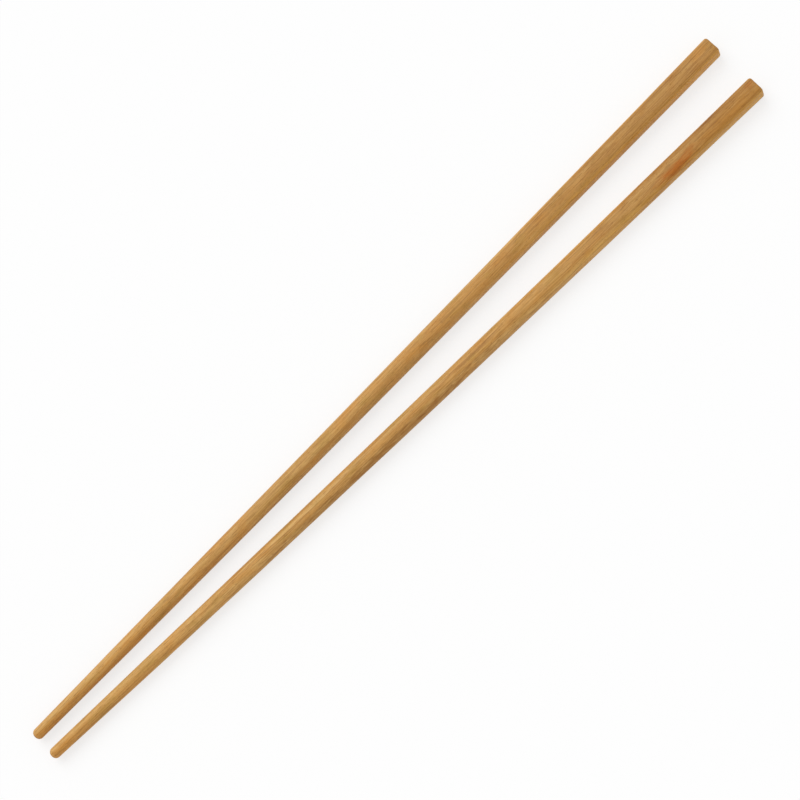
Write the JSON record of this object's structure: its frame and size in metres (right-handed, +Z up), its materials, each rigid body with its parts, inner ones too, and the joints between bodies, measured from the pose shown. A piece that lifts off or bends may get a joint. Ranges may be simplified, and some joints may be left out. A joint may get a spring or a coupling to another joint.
{
  "type": "serving chopsticks",
  "caption": "Long bamboo serving chopsticks with slim round tips, tapering shafts and square grips with rounded corners, lying side by side and spread at the heads.",
  "frame": {"origin": "on the table under the middle of the pair, half way from the tips to the heads and between the two sticks", "axes": "+X from the tips to the heads, +Y to the left when looking from the tips to the heads, +Z up"},
  "size_m": [0.42, 0.0358, 0.0088],
  "materials": {
    "bamboo": "satin"
  },
  "bodies": {
    "root": {"left_chopstick": "bamboo", "right_chopstick": "bamboo"}
  },
  "joints": []
}
